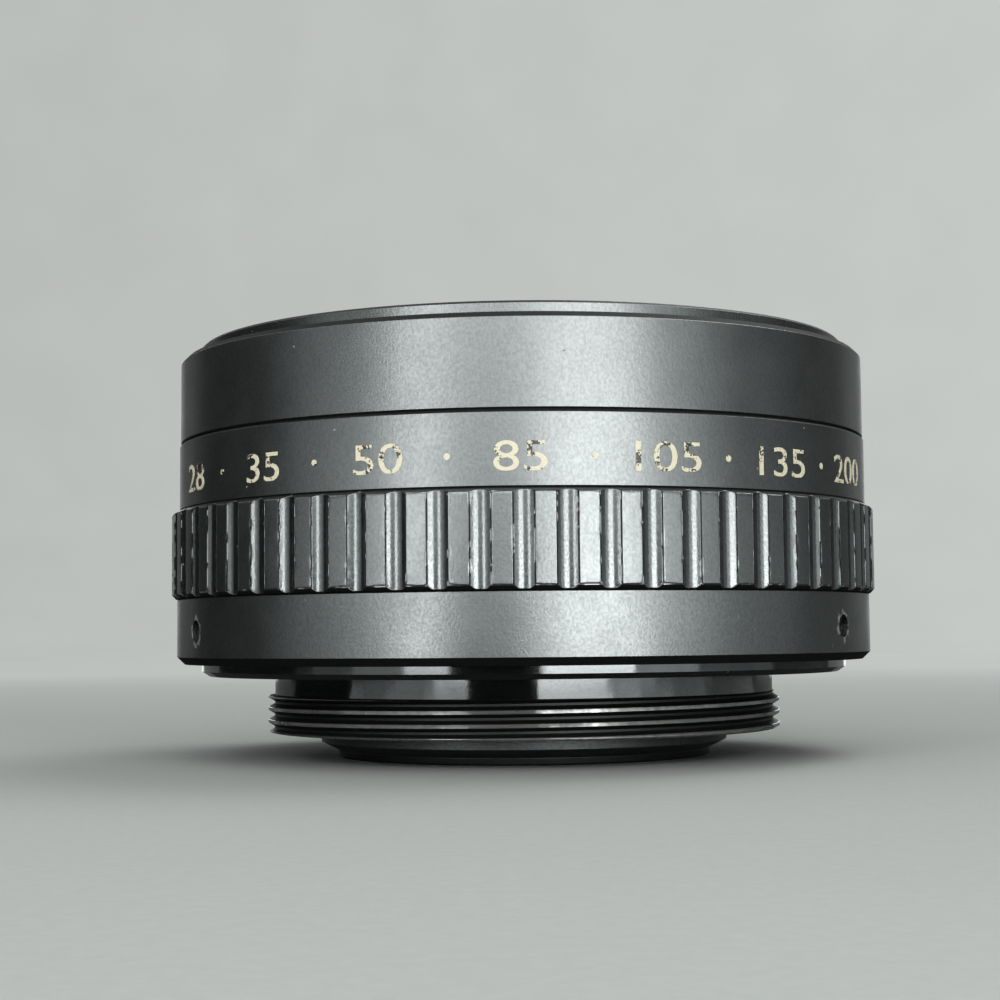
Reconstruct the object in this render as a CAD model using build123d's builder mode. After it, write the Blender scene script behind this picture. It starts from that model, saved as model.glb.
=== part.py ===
from build123d import *
from math import asin, ceil, cos, radians, sin, sqrt, tan
import os

# Screw-mount automatic tele converter, millimetres.
# The optical axis is Z, the lens side is up, and the origin is the centre of the rear guard's end.
# An angle here is measured about the axis from the front of the object (-Y) towards +X.

os.makedirs("parts", exist_ok=True)

# Clearances
fit = 0.05            # radial gap of turned parts that slide together
running = 0.05        # radial gap of a rod in its bush
thread_play = 0.02    # radial gap of a screw in its hole
moving_gap = 0.4      # gap between the moving rods and the fixed walls beside them
notch_gap = 0.3       # the same where a plate is notched for a rod
cell_gap = 0.1        # radial gap of the lens cell in the main tube's web
screw_gap = 0.1       # radial gap of a set screw in the main tube
head_gap = 0.2        # gap from a screw's head to the wall beside it
over_run = 0.1        # how far a cut runs past the wall that it opens
edge_break = 0.12     # bevel on every sharp outside edge

# Camera screw thread: 42 mm across, 1 mm pitch, 60 degree flanks
thread_radius = 21.0
thread_pitch = 1.0
thread_wall = 2.1
male_allowance = 0.1  # the rear crests stand this far inside the nominal radius
male_depth = 0.613 * thread_pitch
female_depth = 0.541 * thread_pitch
male_crest = 0.125 * thread_pitch
female_crest = 0.25 * thread_pitch

# Heights, stacked from the guard's end
guard_length = 2.1
thread_length = 3.0
relief_length = 1.53
flange_length = 1.57
rear_barrel_length = 4.61
grip_length = 7.02
name_length = 5.43
front_barrel_length = 6.79
rim_height = 1.0

z_thread_end = guard_length
z_relief = z_thread_end + thread_length
z_rear_seat = z_relief + relief_length
z_rear_barrel = z_rear_seat + flange_length
z_grip = z_rear_barrel + rear_barrel_length
z_name = z_grip + grip_length
z_seam = z_name + name_length
z_rim = z_seam + front_barrel_length
z_front_seat = z_rim + rim_height

# Radii from the thread outwards
mount_skirt_wall = 1.9
tube_front_wall = 3.35
shell_wall = 1.6
rear_rise = 0.27       # the rear barrel is this much larger in radius than the front one
name_rise = 0.08
grip_rise = 0.7
tube_wall = 1.7
rear_skirt_wall = 1.65

mount_skirt_radius = thread_radius + mount_skirt_wall
tube_front_bore = mount_skirt_radius + fit
tube_radius = tube_front_bore + tube_front_wall
shell_bore = tube_radius + fit
body_radius = shell_bore + shell_wall
rear_radius = body_radius + rear_rise
name_radius = body_radius + name_rise
grip_radius = body_radius + grip_rise
tube_bore = tube_radius - tube_wall
rear_skirt_radius = tube_bore - fit
rear_skirt_bore = rear_skirt_radius - rear_skirt_wall

# Radii from the thread inwards
pin_radius = 0.75
lock_width = 1.35
lock_step = 0.2
cell_wall = 2.5
glass_gap = 0.05

thread_bore = thread_radius - thread_wall
pin_orbit = thread_bore - moving_gap - pin_radius
guard_radius = pin_orbit - pin_radius - moving_gap
lock_radius = guard_radius - lock_step
cell_radius = lock_radius - lock_width - fit
cell_bore = cell_radius - cell_wall
glass_radius = cell_bore - glass_gap

# Front end: lens seat, thread, pusher plate, baffle
front_thread_length = 5.0
pin_depth = 6.2            # lens seat down to the pusher plate at rest
plate_thickness = 0.8
plate_gap = 0.3
baffle_thickness = 0.8
ledge_thickness = 1.7
web_gap = 2.2
web_thickness = 2.0
cell_drop = 0.7            # ledge down to the top of the lens cell

z_mount_skirt = z_front_seat - front_thread_length
z_plate_top = z_front_seat - pin_depth
z_plate = z_plate_top - plate_thickness
z_baffle_top = z_plate - plate_gap
z_ledge = z_baffle_top - baffle_thickness
z_ledge_low = z_ledge - ledge_thickness
z_web_top = z_ledge_low - web_gap
z_web = z_web_top - web_thickness
z_cell_top = z_ledge - cell_drop

# Rear end: web of the rear mount, cover, lock ring, guard
rear_web_drop = 0.45       # web's underside below the rear seat
rear_web_thickness = 2.0
rear_skirt_length = 3.7
cover_thickness = 0.7
lock_length = 1.4
cell_flange_width = 1.2
cell_flange_length = 0.8
guard_lip = 1.9            # guard's end to the rear end of the cell
guard_neck_wall = 0.8      # wall of the cell where the guard screws on

z_rear_web = z_rear_seat - rear_web_drop
z_rear_web_top = z_rear_web + rear_web_thickness
z_skirt_top = z_rear_barrel + rear_skirt_length
z_lock = z_rear_web - lock_length
z_cell_end = guard_lip
cell_neck_radius = cell_radius - guard_neck_wall

# Aperture linkage
pin_reach = 6.1            # rear seat down to the tip of the pin at rest
pin_round = 0.45
guide_radius = 0.7
guide_half_angle = 28.0    # degrees from the push rod to a guide rod
guide_outset = 0.65        # guide rods stand further out than the push rod
guide_tail = 0.5
clip_thickness = 0.4
clip_radius = 1.5
clip_neck = 0.2            # depth of the groove that the clip sits in
spring_length = 6.6
spring_wire = 0.3
spring_turns = 8
spring_gap = 0.02          # axial gap at each end of a spring
spring_clearance = 0.3     # rod to the inside of a spring
clip_mouth = 0.8
plate_inset = 1.55
plate_outset = 1.2
plate_half_angle = 62.0
plate_corner = 0.8
bush_radius = 1.5
linkage_angle = 180.0

guide_orbit = pin_orbit + guide_outset
guide_angles = [linkage_angle - guide_half_angle, linkage_angle + guide_half_angle]
z_pin_tip = z_rear_seat - pin_reach
z_clip_top = z_web - spring_length
z_clip = z_clip_top - clip_thickness
z_guide_end = z_clip - guide_tail

# Glass: edge thickness and the sag of each face, positive where the face bulges outwards
element_1_edge, element_1_rear_sag, element_1_front_sag = 3.0, -1.3, 0.4
element_2_edge, element_2_rear_sag, element_2_front_sag = 2.0, 1.1, 1.3
element_3_edge, element_3_rear_sag, element_3_front_sag = 3.8, -1.0, -1.2
element_4_edge, element_4_rear_sag, element_4_front_sag = 2.4, 1.1, 0.5
shoulder_thickness = 1.2
seat_width = 1.25
rear_spacer_length = 1.2
retainer_length = 1.0
rear_retainer_length = 1.2
retainer_drop = 0.8
spanner_slot = 1.0
clear_radius = glass_radius - seat_width


def ball(sag):
    """Radius of the sphere that gives a face its sag."""
    return (glass_radius ** 2 + sag ** 2) / (2 * abs(sag))


def seat_rise(sag):
    """How far a bulging face stands above its edge where a ring bears on it."""
    if sag < 0:
        return 0.0
    sphere = ball(sag)
    return sqrt(sphere ** 2 - clear_radius ** 2) - sqrt(sphere ** 2 - glass_radius ** 2) + thread_play


z_element_3 = z_rear_web_top
z_spacer_rear = z_element_3 + element_3_edge
z_element_2 = z_spacer_rear + rear_spacer_length + seat_rise(element_2_rear_sag)
z_spacer_front = z_element_2 + element_2_edge + seat_rise(element_2_front_sag)
z_front_retainer = z_cell_top - retainer_drop - retainer_length
z_element_1 = z_front_retainer - seat_rise(element_1_front_sag) - element_1_edge
z_shoulder = z_element_3 - shoulder_thickness
z_element_4 = z_shoulder - seat_rise(element_4_front_sag) - element_4_edge
z_rear_retainer = z_element_4 - seat_rise(element_4_rear_sag) - rear_retainer_length

# Grip flutes
flute_count = 60
flute_width = 1.53
flute_depth = 0.31
flute_angle = 0.32
grip_bevel = 0.32

# Screws
set_screw_radius = 0.85
set_screw_height = 1.98     # rear barrel's lower edge up to the screws
set_screw_sink = 0.35
set_screw_point = 0.5
set_screw_pocket = 0.5
set_screw_angles = [-61.6, 58.4, 178.4]
mount_screw_radius = 0.85
mount_screw_head = 1.5
mount_screw_length = 4.0
mount_screw_angles = [0.0, 120.0, 240.0]
cover_screw_angles = [0.0, 60.0, 300.0]
small_screw_radius = 0.6
small_screw_head = 0.95
small_head_height = 0.4
small_screw_length = 1.3
baffle_screw_head = 1.1
baffle_head_height = 0.6
slot_width = 0.3
slot_depth = 0.25

screw_end_gap = 0.3

# Lip of the front barrel, held between the main tube and the lens seat
lip_length = 0.7
lip_width = 0.8

z_set_screw = z_rear_barrel + set_screw_height
mount_screw_orbit = (tube_front_bore + tube_radius - lip_width) / 2
mount_head_top = mount_screw_head - edge_break
head_cone = mount_head_top - mount_screw_radius
baffle_screw_orbit = tube_front_bore - baffle_screw_head - head_gap


def spot(orbit, angle, height=0.0):
    """Point on a circle about the axis, at an angle from the front of the object."""
    return (orbit * sin(radians(angle)), -orbit * cos(radians(angle)), height)


def outward(angle, radius, height):
    """Place on a round wall whose own Z points straight out from the axis."""
    direction = (sin(radians(angle)), -cos(radians(angle)), 0)
    return Plane(origin=spot(radius, angle, height), z_dir=direction, x_dir=(0, 0, 1)).location


def turned(*outline, mode=Mode.ADD):
    """Revolve a closed outline of (radius, height) points about the optical axis."""
    with BuildSketch(Plane.XZ) as section:
        with BuildLine():
            Polyline(*outline, close=True)
        make_face()
    revolve(section.sketch, axis=Axis.Z, mode=mode)


def tube(inner, outer, low, high):
    """Plain ring between two radii and two heights."""
    turned((inner, low), (outer, low), (outer, high), (inner, high))


def drill(radius, low, high, *places):
    """Straight holes along the axis between two heights."""
    for x, y, _ in places:
        with Locations((x, y, low)):
            Cylinder(radius, high - low, align=(Align.CENTER, Align.CENTER, Align.MIN), mode=Mode.SUBTRACT)


def thread_groove(root, crest, root_half, crest_half):
    """One turn of the helical groove between two threads, starting at height 0 on +X."""
    with BuildPart() as groove:
        with BuildLine() as helix:
            Helix(pitch=thread_pitch, height=thread_pitch, radius=root)
        with BuildSketch(Plane.XZ):
            with BuildLine():
                Polyline(
                    (root, -root_half),
                    (crest, -crest_half),
                    (crest, crest_half),
                    (root, root_half),
                    close=True,
                )
            make_face()
        sweep(path=helix.line, is_frenet=True)
    return groove.part


def cut_thread(groove, start, length):
    """Cut the groove turn by turn along the given length."""
    for turn in range(ceil(length / thread_pitch)):
        with Locations((0, 0, start + turn * thread_pitch)):
            add(groove, mode=Mode.SUBTRACT)


def lens(edge_low, edge, rear_sag, front_sag):
    """Revolve one element, each face an arc centred on the axis."""
    edge_high = edge_low + edge

    def halfway(sag, side):
        half = asin(glass_radius / ball(sag)) / 2
        rise = abs(sag) - ball(sag) * (1 - cos(half))
        return (ball(sag) * sin(half), side + (rise if sag > 0 else -rise))

    low_mid = halfway(-rear_sag, edge_low)
    high_mid = halfway(front_sag, edge_high)
    with BuildSketch(Plane.XZ) as section:
        with BuildLine():
            ThreePointArc((0, edge_low - rear_sag), low_mid, (glass_radius, edge_low))
            Line((glass_radius, edge_low), (glass_radius, edge_high))
            ThreePointArc((glass_radius, edge_high), high_mid, (0, edge_high + front_sag))
            Line((0, edge_high + front_sag), (0, edge_low - rear_sag))
        make_face()
    revolve(section.sketch, axis=Axis.Z)


def spanner_slots(radius, face, depth):
    """Slots across the face of a retaining ring for the pins of a spanner."""
    with Locations((0, 0, face)):
        Box(2 * radius, spanner_slot, 2 * depth, mode=Mode.SUBTRACT)


def driver_slot(head):
    """Slot for a screwdriver across the head at the current place."""
    Box(2 * head, slot_width, 2 * slot_depth, mode=Mode.SUBTRACT)


def finish(part, name):
    """Name the piece and write it."""
    part.label = name
    export_step(part, f"parts/{name}.step")


# Rear mount: male thread, relief, bevelled flange, web and the skirt that the set screws pinch
flange_radius = tube_radius - fit
flange_chamfer_width = 0.6
flange_chamfer_height = 0.4
z_flange_wall = z_rear_seat + flange_chamfer_height
male_radius = thread_radius - male_allowance
relief_step = 0.65
relief_radius = thread_radius - relief_step
seat_step = 0.15                     # height of the small step at the foot of the relief
thread_root = thread_radius - male_depth
thread_lead = 0.15
thread_run_out = 0.1
thread_start = 1.15 * thread_pitch   # groove begins this far below the thread's end
flank = tan(radians(30))
over_cut = 0.04

male_root_half = (thread_pitch - male_crest) / 2 - male_depth * flank
male_crest_half = male_root_half + (male_depth + over_cut) * flank
male_groove = thread_groove(thread_root, thread_radius + over_cut, male_root_half, male_crest_half)

with BuildPart() as rear_mount:
    turned(
        (thread_bore, z_thread_end),
        (male_radius - thread_lead, z_thread_end),
        (male_radius, z_thread_end + thread_lead),
        (male_radius, z_relief - thread_run_out),
        (relief_radius, z_relief),
        (relief_radius, z_rear_seat - seat_step),
        (thread_radius, z_rear_seat - seat_step),
        (thread_radius, z_rear_seat),
        (flange_radius - flange_chamfer_width, z_rear_seat),
        (flange_radius, z_flange_wall),
        (flange_radius, z_rear_barrel),
        (rear_skirt_radius, z_rear_barrel),
        (rear_skirt_radius, z_skirt_top),
        (rear_skirt_bore, z_skirt_top),
        (rear_skirt_bore, z_rear_web_top),
        (cell_radius + fit, z_rear_web_top),
        (cell_radius + fit, z_rear_web),
        (thread_bore, z_rear_web),
    )
    cut_thread(male_groove, z_thread_end - thread_start, thread_length + thread_start)
    drill(bush_radius + thread_play, z_rear_web, z_rear_web_top, spot(pin_orbit, linkage_angle))
    cover_screw_spots = [spot(pin_orbit, angle) for angle in cover_screw_angles]
    drill(small_screw_radius, z_rear_web, z_rear_web + small_screw_length, *cover_screw_spots)
    for angle in set_screw_angles:
        with Locations(outward(angle, rear_skirt_radius - set_screw_pocket, z_set_screw)):
            Cylinder(
                set_screw_point + thread_play,
                set_screw_pocket + over_run,
                align=(Align.CENTER, Align.CENTER, Align.MIN),
                mode=Mode.SUBTRACT,
            )
finish(rear_mount.part, "rear_mount")

# Main tube: carries the outer rings, with a web for rods and cell and a ledge for the baffle
ledge_width = 0.6
ledge_bore = thread_radius - ledge_width

with BuildPart() as main_tube:
    turned(
        (tube_bore, z_rear_barrel),
        (tube_radius, z_rear_barrel),
        (tube_radius, z_rim - lip_length),
        (tube_radius - lip_width, z_rim - lip_length),
        (tube_radius - lip_width, z_rim),
        (tube_front_bore, z_rim),
        (tube_front_bore, z_ledge),
        (ledge_bore, z_ledge),
        (ledge_bore, z_ledge_low),
        (tube_bore, z_ledge_low),
        (tube_bore, z_web_top),
        (cell_radius + cell_gap, z_web_top),
        (cell_radius + cell_gap, z_web),
        (tube_bore, z_web),
    )
    drill(bush_radius + thread_play, z_web, z_web_top, spot(pin_orbit, linkage_angle))
    drill(guide_radius + running, z_web, z_web_top, *[spot(guide_orbit, a) for a in guide_angles])
    for angle in mount_screw_angles:
        drill(
            mount_screw_radius + thread_play,
            z_front_seat - mount_screw_length - screw_end_gap,
            z_rim,
            spot(mount_screw_orbit, angle),
        )
        drill(small_screw_radius, z_ledge_low, z_ledge, spot(baffle_screw_orbit, angle))
    for angle in set_screw_angles:
        with Locations(outward(angle, tube_bore - over_run, z_set_screw)):
            Cylinder(
                set_screw_radius + screw_gap,
                tube_wall + 2 * over_run,
                align=(Align.CENTER, Align.CENTER, Align.MIN),
                mode=Mode.SUBTRACT,
            )
finish(main_tube.part, "main_tube")

# Rear barrel: lower shell with a broad lower bevel and the three tapped radial holes
lower_bevel = 0.6
z_lower_edge = z_rear_barrel - lower_bevel

with BuildPart() as rear_barrel:
    turned(
        (shell_bore, z_lower_edge),
        (rear_radius - lower_bevel, z_lower_edge),
        (rear_radius, z_rear_barrel),
        (rear_radius, z_grip - edge_break),
        (rear_radius - edge_break, z_grip),
        (shell_bore, z_grip),
    )
    for angle in set_screw_angles:
        with Locations(outward(angle, shell_bore - over_run, z_set_screw)):
            Cylinder(
                set_screw_radius + thread_play,
                rear_radius - shell_bore + 2 * over_run,
                align=(Align.CENTER, Align.CENTER, Align.MIN),
                mode=Mode.SUBTRACT,
            )
finish(rear_barrel.part, "rear_barrel")

# Set screws: slotted grub screws with a dog point
with BuildPart() as set_screws:
    for angle in set_screw_angles:
        screw_length = rear_radius - set_screw_sink - rear_skirt_radius - fit
        with Locations(outward(angle, rear_skirt_radius + fit, z_set_screw)):
            Cylinder(set_screw_radius, screw_length, align=(Align.CENTER, Align.CENTER, Align.MIN))
        with Locations(outward(angle, rear_skirt_radius - set_screw_pocket + fit, z_set_screw)):
            Cylinder(set_screw_point, set_screw_pocket, align=(Align.CENTER, Align.CENTER, Align.MIN))
        with Locations(outward(angle, rear_radius - set_screw_sink, z_set_screw)):
            driver_slot(set_screw_radius)
finish(set_screws.part, "set_screws")

# Grip ring: hollow flutes run out on the bevelled ends
flute_ball = (flute_width ** 2 / 4 + flute_depth ** 2) / (2 * flute_depth)

with BuildPart() as grip_ring:
    turned(
        (shell_bore, z_grip),
        (grip_radius - flute_depth, z_grip),
        (grip_radius, z_grip + grip_bevel),
        (grip_radius, z_name - grip_bevel),
        (name_radius, z_name),
        (shell_bore, z_name),
    )
    with PolarLocations(grip_radius - flute_depth + flute_ball, flute_count, start_angle=flute_angle):
        with Locations((0, 0, z_grip)):
            Cylinder(
                flute_ball,
                grip_length,
                align=(Align.CENTER, Align.CENTER, Align.MIN),
                mode=Mode.SUBTRACT,
            )
finish(grip_ring.part, "grip_ring")

# Name ring: plain band above the grip, with a small rebate along the seam
seam_height = 0.12
seam_depth = 0.35
z_rebate = z_seam - seam_height

with BuildPart() as name_ring:
    turned(
        (shell_bore, z_name),
        (name_radius - edge_break, z_name),
        (name_radius, z_name + edge_break),
        (name_radius, z_rebate - edge_break),
        (name_radius - edge_break, z_rebate),
        (name_radius - seam_depth, z_rebate),
        (name_radius - seam_depth, z_seam),
        (shell_bore, z_seam),
    )
finish(name_ring.part, "name_ring")

# Front barrel: upper shell, with a lip that the lens seat clamps
barrel_bevel = 0.4

with BuildPart() as front_barrel:
    turned(
        (shell_bore, z_seam),
        (body_radius - edge_break, z_seam),
        (body_radius, z_seam + edge_break),
        (body_radius, z_rim - barrel_bevel),
        (body_radius - barrel_bevel, z_rim),
        (shell_bore - lip_width, z_rim),
        (shell_bore - lip_width, z_rim - lip_length),
        (shell_bore, z_rim - lip_length),
    )
finish(front_barrel.part, "front_barrel")

# Front mount ring: flat lens seat and the female thread
rim_overhang = 0.1
rim_radius = tube_radius + rim_overhang
rim_bevel = 0.18
lead_in = 0.6
female_bore = thread_radius - female_depth
female_root_half = (thread_pitch - female_crest) / 2 - female_depth * flank
female_mouth_half = female_root_half + (female_depth + over_cut) * flank
female_groove = thread_groove(thread_radius, female_bore - over_cut, female_root_half, female_mouth_half)

with BuildPart() as front_mount_ring:
    turned(
        (female_bore, z_mount_skirt),
        (mount_skirt_radius, z_mount_skirt),
        (mount_skirt_radius, z_rim),
        (rim_radius - rim_bevel, z_rim),
        (rim_radius, z_rim + rim_bevel),
        (rim_radius, z_front_seat - rim_bevel),
        (rim_radius - rim_bevel, z_front_seat),
        (female_bore + lead_in, z_front_seat),
        (female_bore, z_front_seat - lead_in),
    )
    cut_thread(female_groove, z_mount_skirt - thread_pitch, front_thread_length + 2 * thread_pitch)
    for angle in mount_screw_angles:
        with Locations(spot(mount_screw_orbit, angle, z_front_seat)):
            CounterSinkHole(
                mount_screw_radius + fit,
                mount_screw_head + fit,
                depth=2 * rim_height,
                counter_sink_angle=90,
            )
finish(front_mount_ring.part, "front_mount_ring")

# Front mount screws: countersunk, slotted, flush with the seat
with BuildPart() as front_mount_screws:
    for angle in mount_screw_angles:
        top = z_front_seat - edge_break
        with Locations(spot(mount_screw_orbit, angle, top - head_cone)):
            Cone(
                mount_screw_radius,
                mount_head_top,
                head_cone,
                align=(Align.CENTER, Align.CENTER, Align.MIN),
            )
        with Locations(spot(mount_screw_orbit, angle, z_front_seat - mount_screw_length)):
            Cylinder(
                mount_screw_radius,
                mount_screw_length - edge_break - head_cone,
                align=(Align.CENTER, Align.CENTER, Align.MIN),
            )
        with Locations(spot(mount_screw_orbit, angle, top)):
            driver_slot(mount_screw_head)
finish(front_mount_screws.part, "front_mount_screws")

# Front baffle: black plate on the ledge, with a collar round the glass and holes for the rods
collar_height = 0.8
collar_width = 1.2
baffle_overlap = 0.8
baffle_bore = cell_radius - baffle_overlap
rod_hole_radius = guide_radius + moving_gap

with BuildPart() as front_baffle:
    turned(
        (baffle_bore, z_ledge),
        (mount_skirt_radius, z_ledge),
        (mount_skirt_radius, z_baffle_top),
        (baffle_bore + collar_width, z_baffle_top),
        (baffle_bore + collar_width / 2, z_baffle_top + collar_height),
        (baffle_bore, z_baffle_top + collar_height),
    )
    drill(pin_radius + moving_gap, z_ledge, z_baffle_top, spot(pin_orbit, linkage_angle))
    drill(rod_hole_radius, z_ledge, z_baffle_top, *[spot(guide_orbit, a) for a in guide_angles])
    baffle_screw_spots = [spot(baffle_screw_orbit, angle) for angle in mount_screw_angles]
    drill(small_screw_radius + fit, z_ledge, z_baffle_top, *baffle_screw_spots)
finish(front_baffle.part, "front_baffle")

# Baffle screws: slotted pan heads
with BuildPart() as baffle_screws:
    for angle in mount_screw_angles:
        with Locations(spot(baffle_screw_orbit, angle, z_baffle_top)):
            Cylinder(baffle_screw_head, baffle_head_height, align=(Align.CENTER, Align.CENTER, Align.MIN))
            Cylinder(
                small_screw_radius - thread_play,
                baffle_thickness + ledge_thickness - fit,
                align=(Align.CENTER, Align.CENTER, Align.MAX),
            )
        with Locations(spot(baffle_screw_orbit, angle, z_baffle_top + baffle_head_height)):
            driver_slot(baffle_screw_head)
finish(baffle_screws.part, "baffle_screws")

# Lens cell: tube with a flange on the rear web and a shoulder between the two glass stacks
cell_lip = 1.0

with BuildPart() as lens_cell:
    turned(
        (cell_bore, z_cell_end),
        (cell_neck_radius, z_cell_end),
        (cell_neck_radius, z_lock),
        (cell_radius, z_lock),
        (cell_radius, z_rear_web_top),
        (cell_radius + cell_flange_width, z_rear_web_top),
        (cell_radius + cell_flange_width, z_rear_web_top + cell_flange_length),
        (cell_radius, z_rear_web_top + cell_flange_length),
        (cell_radius, z_cell_top),
        (cell_bore + cell_lip, z_cell_top),
        (cell_bore, z_front_retainer + retainer_length),
        (cell_bore, z_element_3),
        (clear_radius, z_element_3),
        (clear_radius, z_shoulder),
        (cell_bore, z_shoulder),
    )
finish(lens_cell.part, "lens_cell")

# Cell lock ring: screws on the cell below the web and clamps it
with BuildPart() as cell_lock_ring:
    tube(cell_radius + fit, lock_radius, z_lock, z_rear_web)
finish(cell_lock_ring.part, "cell_lock_ring")

# Guard ring: stepped dark ring round the rear glass, screwed on the cell's neck
guard_nose = 1.4           # how much narrower the guard's end is
guard_nose_length = 0.55
guard_slope_length = 0.7
guard_mouth = 1.0
guard_nose_radius = guard_radius - guard_nose

with BuildPart() as guard_ring:
    turned(
        (cell_bore + guard_mouth, 0),
        (guard_nose_radius - edge_break, 0),
        (guard_nose_radius, edge_break),
        (guard_nose_radius, guard_nose_length),
        (guard_radius, guard_nose_length + guard_slope_length),
        (guard_radius, z_lock),
        (cell_neck_radius + fit, z_lock),
        (cell_neck_radius + fit, z_cell_end),
        (cell_bore, z_cell_end),
    )
finish(guard_ring.part, "guard_ring")

# Retaining rings: slotted, one at each end of the glass
with BuildPart() as rear_retainer:
    tube(clear_radius, glass_radius, z_rear_retainer, z_rear_retainer + rear_retainer_length)
    spanner_slots(glass_radius, z_rear_retainer, rear_retainer_length / 2)
finish(rear_retainer.part, "rear_retainer")

with BuildPart() as front_retainer:
    tube(clear_radius, glass_radius, z_front_retainer, z_front_retainer + retainer_length)
    spanner_slots(glass_radius, z_front_retainer + retainer_length, retainer_length / 2)
finish(front_retainer.part, "front_retainer")

# Glass elements, numbered from the front
with BuildPart() as element_1:
    lens(z_element_1, element_1_edge, element_1_rear_sag, element_1_front_sag)
finish(element_1.part, "element_1")

with BuildPart() as element_2:
    lens(z_element_2, element_2_edge, element_2_rear_sag, element_2_front_sag)
finish(element_2.part, "element_2")

with BuildPart() as element_3:
    lens(z_element_3, element_3_edge, element_3_rear_sag, element_3_front_sag)
finish(element_3.part, "element_3")

with BuildPart() as element_4:
    lens(z_element_4, element_4_edge, element_4_rear_sag, element_4_front_sag)
finish(element_4.part, "element_4")

# Spacers: the front one fills what the stack leaves
with BuildPart() as spacer_front:
    tube(clear_radius, glass_radius, z_spacer_front, z_element_1)
finish(spacer_front.part, "spacer_front")

with BuildPart() as spacer_rear:
    tube(clear_radius, glass_radius, z_spacer_rear, z_spacer_rear + rear_spacer_length)
finish(spacer_rear.part, "spacer_rear")

# Rear cover: annular plate below the web, notched for the pin
cover_low = z_rear_web - cover_thickness
pin_notch = pin_radius + notch_gap

with BuildPart() as rear_cover:
    tube(lock_radius + fit, thread_bore - fit, cover_low, z_rear_web)
    drill(pin_notch, cover_low, z_rear_web, spot(pin_orbit, linkage_angle))
    with Locations(spot(pin_orbit, linkage_angle, cover_low)):
        Box(
            2 * pin_notch,
            2 * pin_notch,
            cover_thickness,
            align=(Align.CENTER, Align.MIN, Align.MIN),
            mode=Mode.SUBTRACT,
        )
    drill(small_screw_radius + fit, cover_low, z_rear_web, *cover_screw_spots)
finish(rear_cover.part, "rear_cover")

with BuildPart() as rear_cover_screws:
    for x, y, _ in cover_screw_spots:
        with Locations((x, y, cover_low - small_head_height)):
            Cylinder(small_screw_head, small_head_height, align=(Align.CENTER, Align.CENTER, Align.MIN))
            Cylinder(
                small_screw_radius - thread_play,
                small_head_height + cover_thickness + small_screw_length - fit,
                align=(Align.CENTER, Align.CENTER, Align.MIN),
            )
            driver_slot(small_screw_head)
finish(rear_cover_screws.part, "rear_cover_screws")

# Rod bushes: brass, flush with the webs they sit in
with BuildPart() as rod_bushes:
    for low, high in ((z_rear_web, z_rear_web_top), (z_web, z_web_top)):
        with Locations(spot(pin_orbit, linkage_angle, low)):
            Cylinder(bush_radius, high - low, align=(Align.CENTER, Align.CENTER, Align.MIN))
            Cylinder(
                pin_radius + running,
                high - low,
                align=(Align.CENTER, Align.CENTER, Align.MIN),
                mode=Mode.SUBTRACT,
            )
finish(rod_bushes.part, "rod_bushes")

# Pusher plate: arc plate, riveted on the three rods
tenon_step = 0.25
push_tenon = pin_radius - tenon_step
guide_tenon = guide_radius - tenon_step
plate_inner = pin_orbit - plate_inset
plate_outer = guide_orbit + plate_outset
plate_start_angle = linkage_angle - 90 - plate_half_angle

with BuildPart() as pusher_plate:
    with BuildSketch(Plane.XY.offset(z_plate)):
        with BuildLine():
            outer_arc = CenterArc((0, 0), plate_outer, plate_start_angle, 2 * plate_half_angle)
            inner_arc = CenterArc((0, 0), plate_inner, plate_start_angle, 2 * plate_half_angle)
            Line(outer_arc @ 0, inner_arc @ 0)
            Line(outer_arc @ 1, inner_arc @ 1)
        sector = make_face()
        fillet(sector.vertices(), radius=plate_corner)
    extrude(amount=plate_thickness)
    drill(push_tenon + thread_play, z_plate, z_plate_top, spot(pin_orbit, linkage_angle))
    drill(guide_tenon + thread_play, z_plate, z_plate_top, *[spot(guide_orbit, a) for a in guide_angles])
finish(pusher_plate.part, "pusher_plate")

# Push rod: rounded pin at the rear, riveted to the plate at the front
with BuildPart() as push_rod:
    with Locations(spot(pin_orbit, linkage_angle, z_pin_tip)):
        Cylinder(pin_radius, z_plate - z_pin_tip, align=(Align.CENTER, Align.CENTER, Align.MIN))
        fillet(push_rod.edges().sort_by(Axis.Z)[0], radius=pin_round)
    with Locations(spot(pin_orbit, linkage_angle, z_plate)):
        Cylinder(push_tenon, plate_thickness, align=(Align.CENTER, Align.CENTER, Align.MIN))
finish(push_rod.part, "push_rod")

# Guide rods: grooved near the lower end for the clips
with BuildPart() as guide_rods:
    for angle in guide_angles:
        with Locations(spot(guide_orbit, angle, z_guide_end)):
            Cylinder(guide_radius, z_plate - z_guide_end, align=(Align.CENTER, Align.CENTER, Align.MIN))
        with Locations(spot(guide_orbit, angle, z_plate)):
            Cylinder(guide_tenon, plate_thickness, align=(Align.CENTER, Align.CENTER, Align.MIN))
        with Locations(spot(guide_orbit, angle, z_clip)):
            Cylinder(
                guide_radius + over_run,
                clip_thickness,
                align=(Align.CENTER, Align.CENTER, Align.MIN),
                mode=Mode.SUBTRACT,
            )
            Cylinder(
                guide_radius - clip_neck,
                clip_thickness,
                align=(Align.CENTER, Align.CENTER, Align.MIN),
            )
finish(guide_rods.part, "guide_rods")

# Rod clips: open rings snapped into the grooves
clip_bore = guide_radius - clip_neck + thread_play

with BuildPart() as rod_clips:
    for angle in guide_angles:
        with BuildSketch(Plane.XY.offset(z_clip)):
            with Locations(spot(guide_orbit, angle)[:2]):
                Circle(clip_radius)
                Circle(clip_bore, mode=Mode.SUBTRACT)
                Rectangle(
                    clip_mouth,
                    2 * clip_radius,
                    align=(Align.CENTER, Align.MIN),
                    mode=Mode.SUBTRACT,
                )
    extrude(amount=clip_thickness)
finish(rod_clips.part, "rod_clips")

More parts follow.
